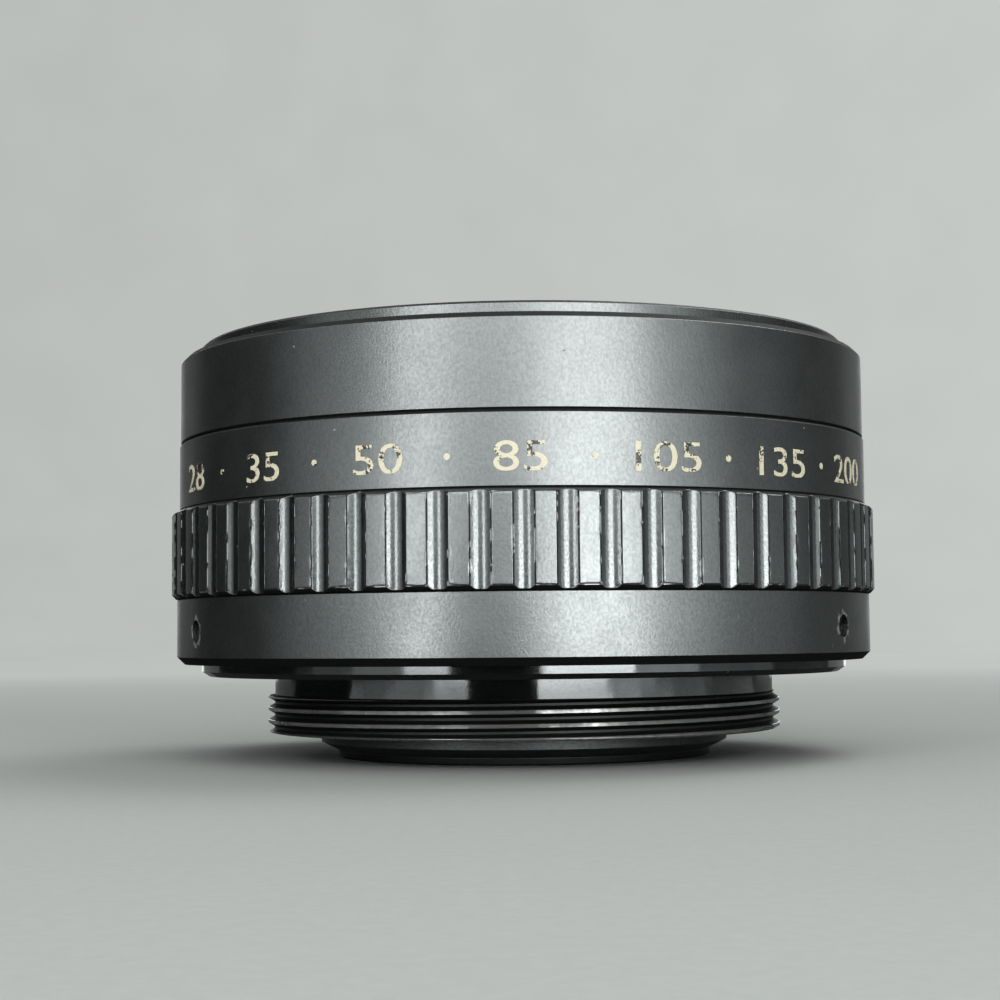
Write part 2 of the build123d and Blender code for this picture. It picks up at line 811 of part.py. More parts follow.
# Return springs: one unbroken coil each, between the clip and the web
spring_radius = guide_radius + spring_clearance + spring_wire / 2
spring_rise = spring_length - 2 * spring_gap - spring_wire
spring_pitch = spring_rise / spring_turns
print(f"return spring: least gap between turns {spring_pitch - spring_wire:.2f} mm")

with BuildPart() as coil:
    with BuildLine() as winding:
        Helix(pitch=spring_pitch, height=spring_rise, radius=spring_radius)
    with BuildSketch(Plane(origin=winding.line @ 0, z_dir=winding.line % 0)):
        Circle(spring_wire / 2)
    sweep(path=winding.line, is_frenet=True)

with BuildPart() as return_springs:
    for angle in guide_angles:
        with Locations(spot(guide_orbit, angle, z_clip_top + spring_gap + spring_wire / 2)):
            add(coil.part)
finish(return_springs.part, "return_springs")
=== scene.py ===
from functools import partialmethod
from math import asin, atan2, ceil, cos, pi, radians, sin, sqrt, tau

import bmesh
import bpy
from bpy.props import (
    FloatProperty, FloatVectorProperty, IntProperty, PointerProperty, StringProperty)
from mathutils import Matrix, Vector
from mathutils import noise as lattice


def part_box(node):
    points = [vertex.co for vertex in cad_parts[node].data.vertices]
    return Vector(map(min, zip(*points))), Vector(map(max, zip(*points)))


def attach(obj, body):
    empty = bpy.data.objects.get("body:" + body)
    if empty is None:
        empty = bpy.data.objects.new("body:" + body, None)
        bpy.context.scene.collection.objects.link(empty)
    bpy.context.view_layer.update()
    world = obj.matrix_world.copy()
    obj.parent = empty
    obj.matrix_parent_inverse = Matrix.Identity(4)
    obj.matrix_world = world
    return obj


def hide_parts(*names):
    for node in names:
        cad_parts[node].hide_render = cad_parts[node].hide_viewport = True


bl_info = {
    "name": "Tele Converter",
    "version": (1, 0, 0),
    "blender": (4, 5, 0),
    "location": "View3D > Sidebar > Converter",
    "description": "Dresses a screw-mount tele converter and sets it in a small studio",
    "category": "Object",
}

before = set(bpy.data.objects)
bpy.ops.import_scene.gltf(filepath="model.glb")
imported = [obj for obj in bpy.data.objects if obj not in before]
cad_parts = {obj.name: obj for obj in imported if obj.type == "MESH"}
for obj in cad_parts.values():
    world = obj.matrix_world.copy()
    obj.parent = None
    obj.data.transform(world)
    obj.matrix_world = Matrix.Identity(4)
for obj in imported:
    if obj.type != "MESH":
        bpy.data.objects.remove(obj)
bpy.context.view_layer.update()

BODY = "converter_body"
MM = 0.001


def box_of(node):
    """Outer radius, lowest and highest height of a round node."""
    low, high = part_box(node)
    return high.x, low.z, high.z


# Softboxes on each side of the camera: name, left, right, bottom and top in metres, radiance
SOFTBOXES = (
    ("box_right_foot", 0.018, 0.135, 0.001, 0.006, 8.0),
    ("box_right_low", 0.018, 0.135, 0.006, 0.016, 15.5),
    ("box_right_middle", 0.018, 0.135, 0.016, 0.05, 5.4),
    ("box_right_high", 0.018, 0.130, 0.05, 0.24, 3.7),
    ("box_left_foot", -0.154, -0.075, 0.001, 0.006, 3.8),
    ("box_left_low", -0.154, -0.075, 0.006, 0.018, 11.5),
    ("box_left_middle", -0.154, -0.075, 0.018, 0.05, 4.7),
    ("box_left_high", -0.154, -0.075, 0.05, 0.24, 3.8),
    ("box_middle", -0.075, 0.018, 0.055, 0.24, 2.6),
)
BOX_DISTANCE = 0.19
# Softboxes that start lower would burn the floor out at their foot, so only gloss sees them
FLOOR_CLEARANCE = 0.05

# Height of the cards' feet, just above the floor
TABLE = 0.0006
# Upright cards: name, first and last angle in degrees about the axis from the camera's side,
# radius, heights of the edges of its bands, radiance of each band
WHOLE = (TABLE, 0.2)
BANDS = (TABLE, 0.018, 0.034, 0.2)
CARDS = (
    ("card_middle", -23.0, 6.0, 0.19, (TABLE, 0.018, 0.055), (0.01, 1.7)),
    ("card_left_pale", -56.0, -38.0, 0.23, BANDS, (1.0, 2.2, 0.4)),
    ("card_left_grey", -72.0, -56.0, 0.24, BANDS, (0.35, 0.9, 0.45)),
    ("card_left_dark", -128.0, -72.0, 0.26, WHOLE, (0.02,)),
    ("card_left_dim", -152.0, -128.0, 0.26, WHOLE, (0.22,)),
    ("card_left_back", -180.0, -152.0, 0.26, WHOLE, (1.3,)),
    ("card_right_pale", 34.0, 58.0, 0.24, BANDS, (1.8, 2.6, 0.85)),
    ("card_right_grey", 58.0, 90.0, 0.25, BANDS, (0.42, 0.55, 0.17)),
    ("card_right_dark", 90.0, 128.0, 0.26, WHOLE, (0.08,)),
    ("card_right_dim", 128.0, 152.0, 0.26, WHOLE, (0.3,)),
    ("card_right_back", 152.0, 180.0, 0.26, WHOLE, (1.5,)),
)
# Level cards: name, first and last angle in degrees, inner and outer radius, height, radiance.
# Their radii lie under the part, near it, as far off as the softboxes, and beyond them
UNDER, NEAR, FRONT, FAR = 0.022, 0.108, 0.19, 0.262
LEVEL_CARDS = (
    ("card_table_left_dark", -122.0, -79.0, NEAR, FAR, TABLE, 0.01),
    ("card_table_left_grey", -79.0, -60.0, NEAR, FAR, TABLE, 0.8),
    ("card_table_left_pale", -60.0, -41.0, NEAR, FAR, TABLE, 1.1),
    ("card_table_fill", -41.0, -23.0, NEAR, FRONT, TABLE, 2.1),
    ("card_table_middle", -23.0, 6.0, NEAR, FRONT, TABLE, 0.01),
    ("card_table_key", 6.0, 37.0, NEAR, FRONT, TABLE, 5.4),
    ("card_table_right_pale", 37.0, 50.0, NEAR, FAR, TABLE, 2.3),
    ("card_table_right_grey", 50.0, 66.0, NEAR, FAR, TABLE, 1.35),
    ("card_table_right_dim", 66.0, 84.0, NEAR, FAR, TABLE, 0.75),
    ("card_table_right_dark", 84.0, 122.0, NEAR, FAR, TABLE, 0.38),
    ("card_table_near", -122.0, 122.0, UNDER, NEAR, TABLE, 0.03),
    ("card_table_back", 122.0, 238.0, UNDER, FAR, TABLE, 0.13),
    ("card_ceiling", -180.0, 180.0, 0.001, 0.055, 0.24, 0.03),
)
LAMP_TINT = (0.96, 1.0, 0.99, 1)
SKY_TINT = (0.97, 1.0, 0.99, 1)
OVERHEAD_PLACE = (0.34, 0.30, 0.72)

BAND_RADIUS = box_of("name_ring")[0]
GRIP_RADIUS, GRIP_LOW, GRIP_HIGH = box_of("grip_ring")
GRIP_MIDDLE = (GRIP_LOW + GRIP_HIGH) / 2
GRIP_BORE = 26.35 * MM
# Levels near the grip's ends and places beside a flute, closer together where an edge is rounded
END_LEVELS = (0.0, 0.12, 0.24, 0.32, 0.38, 0.42, 0.45, 0.49, 0.54, 0.62, 0.74)
END_LEVEL_OF_BEVEL = 0.42
LEVEL_STEP = 0.2 * MM
LAND_OFFSETS = (0.03 * MM, 0.06 * MM, 0.1 * MM, 0.16 * MM)
LEAST_CREASE = radians(0.12)
# How wide an edge is rounded, and bare where it is chipped, along a flute and round the ring's ends
ROUND_WIDTH = 0.06 * MM
BARE_WIDTH, BARE_RIM_WIDTH = 0.11 * MM, 0.16 * MM
# Painted shade on the grip: darker, less glossy bevels at the lower and upper ends, and flutes a
# little darker
LOW_END_SHADE, HIGH_END_SHADE, FLUTE_SHADE = 0.95, 0.4, 0.25

# Places that the materials use, in millimetres like their coordinates
SEAT_RADIUS, _, SEAT_HIGH = (size / MM for size in box_of("front_mount_ring"))
SEAT_WORN_RADIUS = 25.9
RIM_FOOT = box_of("front_barrel")[2] / MM
SCREW_ANGLES = (-61.6, 58.4, 178.4)
SCREW_HEIGHT = sum(corner.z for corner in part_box("set_screws")) / 2 / MM
SCREW_HOLE = 0.85
SCREW_WORN_RADIUS = 1.5
FRONT_CREST = 20.55
THREAD_RADIUS = 20.9
THREAD_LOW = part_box("rear_mount")[0].z / MM
THREAD_HIGH = THREAD_LOW + 3.0
NOSE_HEIGHT = 0.5

# The part of a noise's range where most of its values lie
NOISE_MIDDLE = (0.3, 0.7)
DUST = (0.19, 0.19, 0.175, 1)
# Near black of the painted shade in bevels, grooves, flutes and ring ends
PAINTED_SHADE_BLACK = (0.003, 0.003, 0.003, 1)
SCREW_BLACK, SCREW_BITTEN = (0.06, 0.06, 0.06, 1), (0.3, 0.3, 0.29, 1)
ROD_STEEL = (0.56, 0.56, 0.57)
SPRING_STEEL = (0.5, 0.5, 0.52)
BUSH_BRASS = (0.78, 0.56, 0.25)
GLASS_TINTS = (0.97, 0.985, 0.98, 1), (0.99, 0.995, 1.0, 1)
COAT_TINT = (0.84, 0.76, 1.0, 1.0)

TUBE_NODES = ("main_tube", "lens_cell", "cell_lock_ring")
MATT_NODES = (
    "rear_cover", "front_baffle", "front_retainer", "rear_retainer", "spacer_front", "spacer_rear")
SCREW_NODES = ("front_mount_screws", "set_screws", "rear_cover_screws", "baffle_screws")
STEEL_NODES = ("push_rod", "pusher_plate", "guide_rods", "rod_clips")
GLASS_NODES = ("element_1", "element_2", "element_3", "element_4")


class StudioSettings(bpy.types.PropertyGroup):
    """Floor, lamps and camera."""

    floor_colour: FloatVectorProperty(
        name="Floor colour", description="Pale grey of the floor and the cove",
        subtype="COLOR", size=3, min=0, max=1, default=(0.345, 0.36, 0.348))
    wall_colour: FloatVectorProperty(
        name="Wall colour", description="Pale grey that the wall shows from afar",
        subtype="COLOR", size=3, min=0, max=1, default=(0.505, 0.525, 0.508))
    floor_radius: FloatProperty(
        name="Floor radius", description="Flat part of the floor", unit="LENGTH", default=0.75)
    wall_height: FloatProperty(
        name="Wall height", description="Height of the wall round the floor",
        unit="LENGTH", default=0.9)
    key_level: FloatProperty(
        name="Key level", description="Factor on the radiance of every softbox", default=1.0, min=0)
    overhead_level: FloatProperty(
        name="Overhead level", description="Radiance of the overhead disc", default=4.2, min=0)
    overhead_size: FloatProperty(
        name="Overhead size", description="Across the overhead disc",
        unit="LENGTH", default=0.5)
    world_level: FloatProperty(
        name="World level", description="Strength of the light from all round", default=0.85, min=0)
    camera_distance: FloatProperty(
        name="Camera distance", description="From the optical axis", unit="LENGTH", default=0.1574)
    camera_height: FloatProperty(
        name="Camera height", description="Above the floor", unit="LENGTH", default=0.00973)
    camera_lens: FloatProperty(
        name="Focal length", description="In millimetres on a 36 mm sensor", default=68.256)
    camera_turn: FloatProperty(
        name="Turn", description="About the vertical", subtype="ANGLE", default=radians(0.652))
    camera_pitch: FloatProperty(
        name="Pitch", description="Above the horizon", subtype="ANGLE", default=radians(4.07))
    camera_roll: FloatProperty(
        name="Roll", description="About the line of sight", subtype="ANGLE", default=radians(-0.53))


class FinishSettings(bpy.types.PropertyGroup):
    """Colours and finishes of the metal."""

    black: FloatVectorProperty(
        name="Black", description="Dye of the anodised shells",
        subtype="COLOR", size=3, min=0, max=1, default=(0.0075, 0.008, 0.008))
    bare: FloatVectorProperty(
        name="Bare metal", description="Aluminium where the black has worn off",
        subtype="COLOR", size=3, min=0, max=1, default=(0.62, 0.62, 0.60))
    satin: FloatProperty(
        name="Satin roughness", description="Roughness of the shells", default=0.33, min=0, max=1)
    gloss: FloatProperty(
        name="Gloss roughness", description="Roughness of the turned mount",
        default=0.085, min=0, max=1)
    sheen_tint: FloatVectorProperty(
        name="Gloss tint", description="Cool tint of the gloss on the anodised metal",
        subtype="COLOR", size=3, min=0, max=1, default=(0.93, 1.0, 0.995))
    paint: FloatVectorProperty(
        name="Paint", description="Cream paint of the numerals",
        subtype="COLOR", size=3, min=0, max=1, default=(0.80, 0.74, 0.55))


class GripSettings(bpy.types.PropertyGroup):
    """Fluted grip."""

    flutes: IntProperty(name="Flutes", description="Number of flutes", default=60, min=3)
    flute_width: FloatProperty(
        name="Flute width", description="Across a flute at the grip's radius",
        unit="LENGTH", default=1.53 * MM)
    flute_depth: FloatProperty(
        name="Flute depth", description="Depth of a flute", unit="LENGTH", default=0.31 * MM)
    flute_angle: FloatProperty(
        name="Flute angle", description="Turn of the first flute",
        subtype="ANGLE", default=radians(0.32))
    bevel: FloatProperty(
        name="End bevel", description="Height of the bevel at both ends",
        unit="LENGTH", default=0.32 * MM)
    chip: FloatProperty(
        name="Chip depth", description="Deepest chip on an edge", unit="LENGTH", default=0.05 * MM)


class NumeralSettings(bpy.types.PropertyGroup):
    """Plain numerals on the band."""

    words: StringProperty(
        name="Numerals", description="Plain numbers, from left to right",
        default="28 35 50 85 105 135 200")
    height: FloatProperty(
        name="Height", description="Of a numeral", unit="LENGTH", default=2.1 * MM)
    base: FloatProperty(
        name="Base", description="Foot of the numerals above the floor",
        unit="LENGTH", default=20.95 * MM)
    spread: FloatProperty(
        name="Spread", description="Angle between the first and the last", subtype="ANGLE",
        default=radians(126))
    stretch: FloatProperty(
        name="Stretch", description="Width of a numeral against the font's", default=1.35)
    thickness: FloatProperty(
        name="Thickness", description="How far the paint stands out",
        unit="LENGTH", default=0.02 * MM)


def feed(tree, socket, value):
    """Set an input, or link it to another socket."""
    if isinstance(value, bpy.types.NodeSocket):
        tree.links.new(value, socket)
    else:
        socket.default_value = value


class Recipe:
    """Builds the nodes of one material. Coordinates are the object's own, in millimetres."""

    def __init__(self, name):
        self.material = bpy.data.materials.new(name)
        self.material.use_nodes = True
        self.tree = self.material.node_tree
        self.tree.nodes.clear()
        self.output = self.tree.nodes.new("ShaderNodeOutputMaterial")
        place = self.tree.nodes.new("ShaderNodeTexCoord").outputs["Object"]
        self.place = self.vector("SCALE", place, scale=1 / MM)

    def node(self, kind, *inputs, **settings):
        """Add a node, feed its inputs in order, and return it. None leaves an input as it is."""
        made = self.tree.nodes.new("ShaderNode" + kind)
        for key, value in settings.items():
            setattr(made, key, value)
        for socket, value in zip(made.inputs, inputs):
            if value is not None:
                feed(self.tree, socket, value)
        return made

    def math(self, operation, *values):
        return self.node("Math", *values, operation=operation).outputs[0]

    times = partialmethod(math, "MULTIPLY")
    plus = partialmethod(math, "ADD")
    larger = partialmethod(math, "MAXIMUM")
    smaller = partialmethod(math, "MINIMUM")
    above = partialmethod(math, "GREATER_THAN")
    below = partialmethod(math, "LESS_THAN")

    def vector(self, operation, first, second=None, scale=None):
        made = self.node("VectorMath", first, second, None, scale, operation=operation)
        return made.outputs["Value" if operation in ("LENGTH", "DOT_PRODUCT") else "Vector"]

    def axes(self):
        """The place's x, y and z."""
        return self.node("SeparateXYZ", self.place).outputs

    def radius(self):
        """Distance from the optical axis."""
        flat = self.vector("MULTIPLY", self.place, (1, 1, 0))
        return self.vector("LENGTH", flat)

    def noise(self, scale, detail=2.0, stretch=None, place=None):
        """Noise from 0 to 1, with so many cells in a millimetre."""
        spot = self.place if place is None else place
        if stretch is not None:
            spot = self.vector("MULTIPLY", spot, stretch)
        made = self.node("TexNoise")
        feed(self.tree, made.inputs["Vector"], spot)
        made.inputs["Scale"].default_value = scale
        made.inputs["Detail"].default_value = detail
        return made.outputs["Fac"]

    def remap(self, value, low, high, to_low=0.0, to_high=1.0):
        """Stretch a range to another, clamped."""
        made = self.node("MapRange", value, low, high, to_low, to_high, clamp=True)
        return made.outputs["Result"]

    def spread(self, noise, low=0.0, high=1.0):
        """Stretch the middle of a noise, where most of it lies, to a range."""
        return self.remap(noise, *NOISE_MIDDLE, low, high)

    def blend(self, share, first, second):
        """Mix two colours."""
        made = self.node("Mix", data_type="RGBA")
        feed(self.tree, made.inputs["Factor"], share)
        feed(self.tree, made.inputs["A"], first)
        feed(self.tree, made.inputs["B"], second)
        return made.outputs["Result"]

    def specks(self, scale, size, share):
        """Mask of specks: cells per millimetre, speck size in cells, share of cells with one."""
        made = self.node("TexVoronoi")
        ragged = self.node("TexNoise", self.place, None, 9.0).outputs["Color"]
        wobble = self.vector("SCALE", ragged, scale=0.12)
        feed(self.tree, made.inputs["Vector"], self.vector("ADD", self.place, wobble))
        made.inputs["Scale"].default_value = scale
        near = self.below(made.outputs["Distance"], size)
        pick = self.node("SeparateColor", made.outputs["Color"]).outputs["Red"]
        return self.times(near, self.below(pick, share))

    def bump(self, height, depth, strength=1.0, under=None):
        """Normal from a height between 0 and 1, its depth in millimetres."""
        made = self.node("Bump")
        made.inputs["Strength"].default_value = strength
        made.inputs["Distance"].default_value = depth * MM
        feed(self.tree, made.inputs["Height"], height)
        if under is not None:
            feed(self.tree, made.inputs["Normal"], under)
        return made.outputs["Normal"]

    def show(self, shader):
        """Finish with this shader and return the material."""
        feed(self.tree, self.output.inputs["Surface"], shader.outputs[0])
        return self.material

    def surface(self, **inputs):
        """Finish with a Principled surface, its inputs named in lower case."""
        shader = self.node("BsdfPrincipled")
        names = {socket.name.lower().replace(" ", "_"): socket for socket in shader.inputs}
        for key, value in inputs.items():
            feed(self.tree, names[key], value)
        return self.show(shader)


def settings():
    """The finish settings of the scene."""
    return bpy.context.scene.converter_finish


def rgba(colour, factor=1.0):
    """A colour times a factor, with full alpha."""
    return (*(channel * factor for channel in colour), 1.0)


def anodised(
        name, roughness, wear=None, painted_shade=None, dull=None,
        grain=0.0075, dust=0.35, level=1.0, fleck=0.09):
    """Black anodised aluminium with a fine grain, turning marks, mottle and dust.

    wear, recess and dull are functions that take the recipe and return where the metal is bare,
    where shade is painted on as darker, less glossy metal, and how much rougher it is. level is the
    strength of the gloss and fleck how much the grain changes it.
    """
    finish = settings()
    recipe = Recipe(name)
    mottle = recipe.noise(0.35, 3.0)
    fine = recipe.noise(5.6, 1.0, stretch=(1.0, 1.0, 0.75))
    turning = recipe.noise(9.0, 2.0, stretch=(0.02, 0.02, 1.0))
    dye = recipe.blend(recipe.spread(fine), rgba(finish.black, 2.0), rgba(finish.black, 0.3))
    specks = recipe.specks(1.3, 0.1, 0.08 * dust)
    colour = recipe.blend(specks, dye, DUST)
    rough = recipe.spread(mottle, roughness - 0.03, roughness + 0.03)
    rough = recipe.plus(rough, recipe.spread(fine, -0.02, 0.02))
    rough = recipe.larger(rough, recipe.times(specks, 0.9))
    if dull is not None:
        rough = recipe.plus(rough, dull(recipe))
    shine = recipe.spread(fine, level * (1 + fleck), level * (1 - fleck))
    metal = 0.0
    if wear is not None:
        metal = wear(recipe)
        colour = recipe.blend(metal, colour, rgba(finish.bare))
        rough = recipe.plus(rough, recipe.times(metal, 0.05))
    # Painted shade: darker colour, weaker gloss and more roughness where the given function is high
    if painted_shade is not None:
        painted_dark = painted_shade(recipe)
        shine = recipe.times(shine, recipe.remap(painted_dark, 0.0, 1.0, 1.0, 0.05))
        rough = recipe.larger(rough, recipe.times(painted_dark, 0.7))
        colour = recipe.blend(painted_dark, colour, PAINTED_SHADE_BLACK)
    normal = recipe.bump(turning, 0.2 * grain, under=recipe.bump(fine, grain))
    return recipe.surface(
        base_color=colour, roughness=rough, metallic=metal, normal=normal,
        ior=1.8, specular_ior_level=shine, specular_tint=rgba(finish.sheen_tint))


def clad(node, material):
    """Give a CAD node, by its name, or a piece this one material, and return it."""
    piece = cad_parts.get(node) if isinstance(node, str) else node
    piece.data.materials.clear()
    piece.data.materials.append(material)
    return piece


def placed(name, data):
    """A new object of the scene that holds this data."""
    made = bpy.data.objects.new(name, data)
    bpy.context.scene.collection.objects.link(made)
    return made


def mesh_piece(name, points, faces, material):
    """A new smooth piece from points and faces, in the part's frame."""
    mesh = bpy.data.meshes.new(name)
    mesh.from_pydata(points, [], faces)
    mesh.validate()
    mesh.materials.append(material)
    mesh.polygons.foreach_set("use_smooth", [True] * len(mesh.polygons))
    return placed(name, mesh)


class CONVERTER_OT_stage(bpy.types.Operator):
    """Build the floor with its cove, the lamps, the cards, the world and the camera"""

    bl_idname = "converter.stage"
    bl_label = "Stage"

    def execute(self, context):
        studio = context.scene.converter_studio
        self.floor(studio)
        self.lamps(studio)
        self.cards(studio)
        self.world(studio)
        self.camera(studio)
        context.scene.view_settings.view_transform = "Standard"
        return {"FINISHED"}

    def paper(self, studio):
        """Pale paper. Far off it glows with its own tone, the same from any viewpoint, with painted
        light that makes it brighter towards +x.
        """
        recipe = Recipe("studio_paper")
        floor, wall = studio.floor_colour, studio.wall_colour
        tone = recipe.noise(0.02, 2.0)
        pale = recipe.blend(tone, rgba(floor, 0.96), rgba(floor, 1.04))
        fibre = recipe.blend(recipe.noise(1.2, 4.0), rgba(floor, 0.9), rgba(floor, 1.1))
        pale = recipe.blend(0.5, pale, fibre)
        grain = recipe.bump(recipe.noise(1.2, 3.0), 0.06, 0.5)
        recipe.surface(base_color=pale, roughness=0.9, normal=grain, specular_ior_level=0.1)
        lit = recipe.output.inputs["Surface"].links[0].from_socket
        # Painted light: far off, the wall grows brighter towards +x, as if lit from that side
        side = recipe.remap(recipe.axes()["X"], -500, 500)
        side = recipe.plus(recipe.times(side, 0.7), recipe.times(tone, 0.3))
        far_tone_and_painted_light = recipe.blend(side, rgba(wall, 0.88), rgba(wall, 1.2))
        glow = recipe.node("Emission", far_tone_and_painted_light, 1.0)
        ray = recipe.node("LightPath").outputs
        seen = recipe.larger(ray["Is Camera Ray"], ray["Is Glossy Ray"])
        seen = recipe.larger(seen, ray["Is Transmission Ray"])
        reach = recipe.vector("LENGTH", recipe.vector("ADD", recipe.place, (0, 30, 0)))
        share = recipe.times(recipe.remap(reach, 70, 400), seen)
        return recipe.show(recipe.node("MixShader", share, lit, glow.outputs[0]))

    def floor(self, studio):
        """Disc that curves up into a round wall."""
        edge, cove = studio.floor_radius, studio.floor_radius / 3
        steps, around = 16, 96
        profile = [(0.06, 0.0), (0.2, 0.0), (edge, 0.0)]
        for step in range(1, steps + 1):
            turn = step / steps * pi / 2
            profile.append((edge + cove * sin(turn), cove * (1 - cos(turn))))
        profile.append((edge + cove, studio.wall_height))
        points = [(0, 0, 0)]
        for radius, height in profile:
            for side in range(around):
                angle = side / around * tau
                points.append((radius * cos(angle), radius * sin(angle), height))
        faces = [(0, 1 + side, 1 + (side + 1) % around) for side in range(around)]
        for ring in range(len(profile) - 1):
            low = 1 + ring * around
            for side in range(around):
                far = (side + 1) % around
                faces.append((low + side, low + around + side, low + around + far, low + far))
        mesh_piece("studio_floor", points, faces, self.paper(studio))

    def lamp(self, name, low, high, level):
        """Upright softbox between two corners that faces the part, with this radiance."""
        across = Vector(high).xy - Vector(low).xy
        data = bpy.data.lights.new(name, "AREA")
        data.shape = "RECTANGLE"
        width, height = across.length, high[2] - low[2]
        data.size = width
        data.size_y = height
        data.energy = level * pi * width * height
        across = across.normalized()
        facing = Vector((-across.y, across.x, 0))
        turn = Matrix((across.to_3d(), Vector((0, 0, 1)), -facing)).transposed()
        lamp = placed(name, data)
        lamp.matrix_world = Matrix.Translation((Vector(low) + Vector(high)) / 2) @ turn.to_4x4()
        lamp.visible_camera = False
        return lamp

    def lamps(self, studio):
        """Softboxes each side of the camera, and a broad disc above, to the right and behind."""
        for name, left, right, bottom, top, level in SOFTBOXES:
            low, high = (left, -BOX_DISTANCE, bottom), (right, -BOX_DISTANCE, top)
            lamp = self.lamp(name, low, high, level * studio.key_level)
            lamp.visible_diffuse = bottom >= FLOOR_CLEARANCE
        data = bpy.data.lights.new("overhead", "AREA")
        data.shape = "DISK"
        data.size = studio.overhead_size
        data.energy = studio.overhead_level * pi * pi * data.size ** 2 / 4
        overhead = placed("overhead", data)
        overhead.location = OVERHEAD_PLACE
        overhead.rotation_euler = Vector(OVERHEAD_PLACE).to_track_quat("Z", "Y").to_euler()
        overhead.visible_camera = False

    def cards(self, studio):
        """Cards round, below and above the part, dark or grey, that only its gloss shows."""
        for name, first, last, radius, heights, levels in CARDS:
            for band, level in enumerate(levels):
                edges = ((radius, heights[band]), (radius, heights[band + 1]))
                self.card(f"{name}_{band + 1}", first, last, edges, level)
        for name, first, last, near, far, height, level in LEVEL_CARDS:
            self.card(name, first, last, ((near, height), (far, height)), level)

    def card(self, name, first, last, edges, level):
        """Strip between two arcs, each with its radius and height."""
        steps = max(2, ceil((last - first) / 6))
        angles = [radians(first + (last - first) * step / steps) for step in range(steps + 1)]
        points = [(radius * sin(angle), -radius * cos(angle), height)
                  for radius, height in edges for angle in angles]
        faces = [(step, step + 1, step + steps + 2, step + steps + 1) for step in range(steps)]
        recipe = Recipe(name)
        felt = recipe.spread(recipe.noise(0.05), 0.9 * level, 1.1 * level)
        glow = recipe.show(recipe.node("Emission", LAMP_TINT, felt))
        card = mesh_piece(name, points, faces, glow)
        for ray in ("camera", "diffuse", "transmission", "volume_scatter", "shadow"):
            setattr(card, "visible_" + ray, False)

    def world(self, studio):
        """Even light from all round."""
        world = bpy.data.worlds.new("studio_world")
        world.use_nodes = True
        background = world.node_tree.nodes["Background"]
        background.inputs["Color"].default_value = SKY_TINT
        background.inputs["Strength"].default_value = studio.world_level
        bpy.context.scene.world = world

    def camera(self, studio):
        """The photograph's viewpoint."""
        data = bpy.data.cameras.new("camera")
        data.sensor_width = 36
        data.lens = studio.camera_lens
        data.clip_start = 0.01
        turned = Matrix.Rotation(studio.camera_turn, 3, "Z")
        turned = turned @ Matrix.Rotation(studio.camera_pitch, 3, "X")
        right, forward, up = (turned.col[i].copy() for i in range(3))
        roll = studio.camera_roll
        side = cos(roll) * right + sin(roll) * up
        top = cos(roll) * up - sin(roll) * right
        axes = Matrix((side, top, -forward)).transposed()
        spot = Vector((0, -studio.camera_distance, studio.camera_height))
        camera = placed("camera", data)
        camera.matrix_world = Matrix.Translation(spot) @ axes.to_4x4()
        bpy.context.scene.camera = camera


class CONVERTER_OT_shells(bpy.types.Operator):
    """Finish the smooth outer shells: front barrel, name ring, rear barrel and lens seat"""

    bl_idname = "converter.shells"
    bl_label = "Shells"

    def execute(self, context):
        satin = settings().satin
        for node in ("front_barrel", "name_ring", "rear_barrel"):
            wear = screw_wear if node == "rear_barrel" else None
            edges = edge_painted_shade(box_of(node)[0] / MM)
            even_seam(clad(node, anodised(node + "_black", satin, wear=wear, painted_shade=edges)))
        seat = anodised("seat_black", satin - 0.04, wear=seat_wear, painted_shade=rim_painted_shade)
        clad("front_mount_ring", seat)
        return {"FINISHED"}


def even_seam(piece):
    """Smooth the shading across the line where a turned face closes, and keep the corners sharp."""
    piece.modifiers.new("weld", "WELD").merge_threshold = 0.001 * MM
    corners = piece.modifiers.new("corners", "EDGE_SPLIT")
    corners.split_angle = radians(20)
    corners.use_edge_sharp = False
    piece.modifiers.new("normals", "WEIGHTED_NORMAL").mode = "CORNER_ANGLE"


def edge_painted_shade(outer):
    """Painted shade on the bevels and seam of a shell of this outer radius."""
    def painted_shade(recipe):
        return recipe.remap(recipe.radius(), outer - 0.04, outer - 0.01, 0.92, 0.0)
    return painted_shade


def rim_painted_shade(recipe):
    """Painted shade on the bevel round the lens seat and the foot of its rim, and less on its face.
    """
    height = recipe.axes()["Z"]
    edge = recipe.above(height, SEAT_HIGH - 0.17)
    outside = recipe.above(recipe.radius(), SEAT_RADIUS - 0.17)
    bevel = recipe.times(recipe.times(edge, outside), 0.8)
    foot = recipe.remap(height, RIM_FOOT + 0.08, RIM_FOOT + 0.25, 0.85, 0.0)
    face = recipe.times(recipe.above(height, SEAT_HIGH - 0.01), 0.5)
    rim = recipe.larger(bevel, recipe.times(foot, outside))
    return recipe.larger(rim, face)


def screw_wear(recipe):
    """Bare metal that a driver has left round the three screw holes, and faint nicks elsewhere."""
    middle = recipe.vector("SUBTRACT", recipe.place, (0, 0, SCREW_HEIGHT))
    far = 10.0
    near = far
    for angle in SCREW_ANGLES:
        outward = (sin(radians(angle)), -cos(radians(angle)), 0)
        away = recipe.vector("LENGTH", recipe.vector("CROSS_PRODUCT", middle, outward))
        behind = recipe.below(recipe.vector("DOT_PRODUCT", middle, outward), 0.0)
        near = recipe.smaller(near, recipe.plus(away, recipe.times(behind, far)))
    rub = recipe.noise(1.8, 4.0)
    fade = recipe.remap(near, SCREW_HOLE, SCREW_WORN_RADIUS, 0.14, -0.14)
    worn = recipe.remap(recipe.plus(rub, fade), 0.56, 0.6)
    return recipe.times(worn, recipe.remap(near, SCREW_HOLE, SCREW_WORN_RADIUS, 0.8, 0.2))


